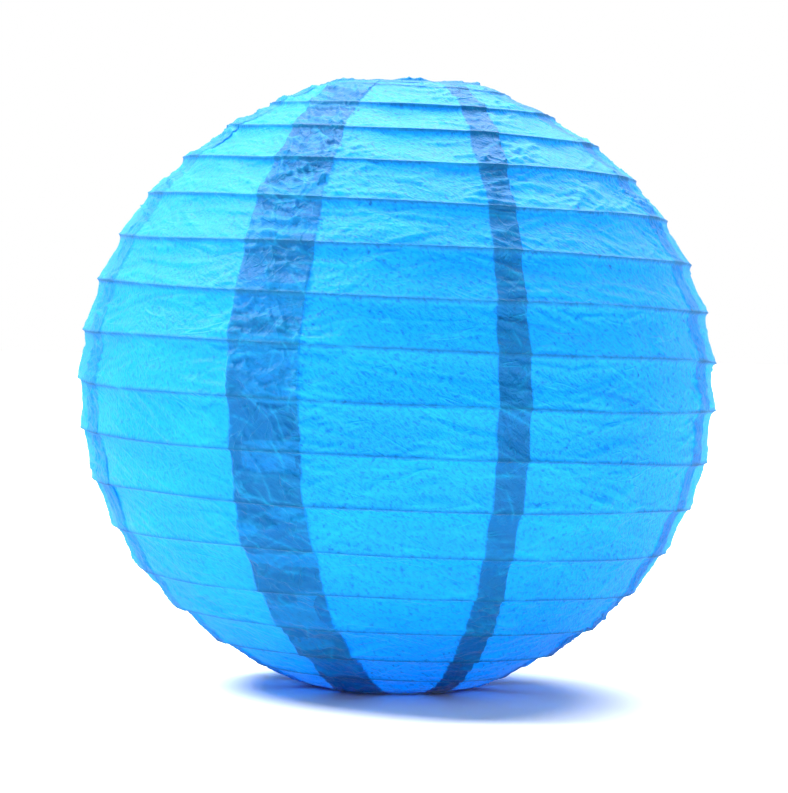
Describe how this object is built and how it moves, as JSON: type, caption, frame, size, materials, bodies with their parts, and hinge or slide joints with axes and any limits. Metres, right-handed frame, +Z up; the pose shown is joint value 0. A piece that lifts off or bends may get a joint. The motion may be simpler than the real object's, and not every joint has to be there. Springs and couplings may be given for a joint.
{
  "type": "paper lantern",
  "caption": "Round sky-blue paper lantern: pleated paper gores over a wire rib spiral, wire end rings and a removable wire expander inside.",
  "frame": {"origin": "centre of the bottom ring's underside, on the surface that the lantern stands on", "axes": "+Z up through both end rings, -Y towards the viewer, +X to the viewer's right"},
  "size_m": [0.299, 0.2991, 0.282],
  "materials": {
    "paper": "matte",
    "rib_wire": "satin",
    "ring_wire": "satin",
    "expander_wire": "satin"
  },
  "bodies": {
    "shell": {"bottom_ring": "ring_wire", "gore_1": "paper", "gore_2": "paper", "gore_3": "paper", "gore_4": "paper", "gore_5": "paper", "gore_6": "paper", "gore_7": "paper", "gore_8": "paper", "rib_spiral": "rib_wire"},
    "top": {"top_ring": "ring_wire"},
    "hanger": {"expander_hanger": "expander_wire"},
    "leg_right": {"expander_leg_right": "expander_wire"},
    "leg_left": {"expander_leg_left": "expander_wire"}
  },
  "joints": [
    {"name": "collapse", "type": "slide", "parent": "shell", "child": "top", "axis": [0, 0, 1], "range_m": [-0.258, 0], "deforming": ["gore_1", "gore_2", "gore_3", "gore_4", "gore_5", "gore_6", "gore_7", "gore_8", "rib_spiral"]},
    {"name": "expander_lift", "type": "slide", "parent": "shell", "child": "hanger", "axis": [0, 0, 1], "range_m": [0, 0.34]},
    {"name": "squeeze_right", "type": "hinge", "parent": "hanger", "child": "leg_right", "pos_m": [0.017, 0, 0.2739], "axis": [0, 1, 0], "range_deg": [0, 5]},
    {"name": "squeeze_left", "type": "hinge", "parent": "hanger", "child": "leg_left", "pos_m": [-0.017, 0, 0.2739], "axis": [0, -1, 0], "range_deg": [0, 5]}
  ],
  "couplings": [
    {"joint": "squeeze_left", "follows": "squeeze_right", "ratio": 1}
  ]
}
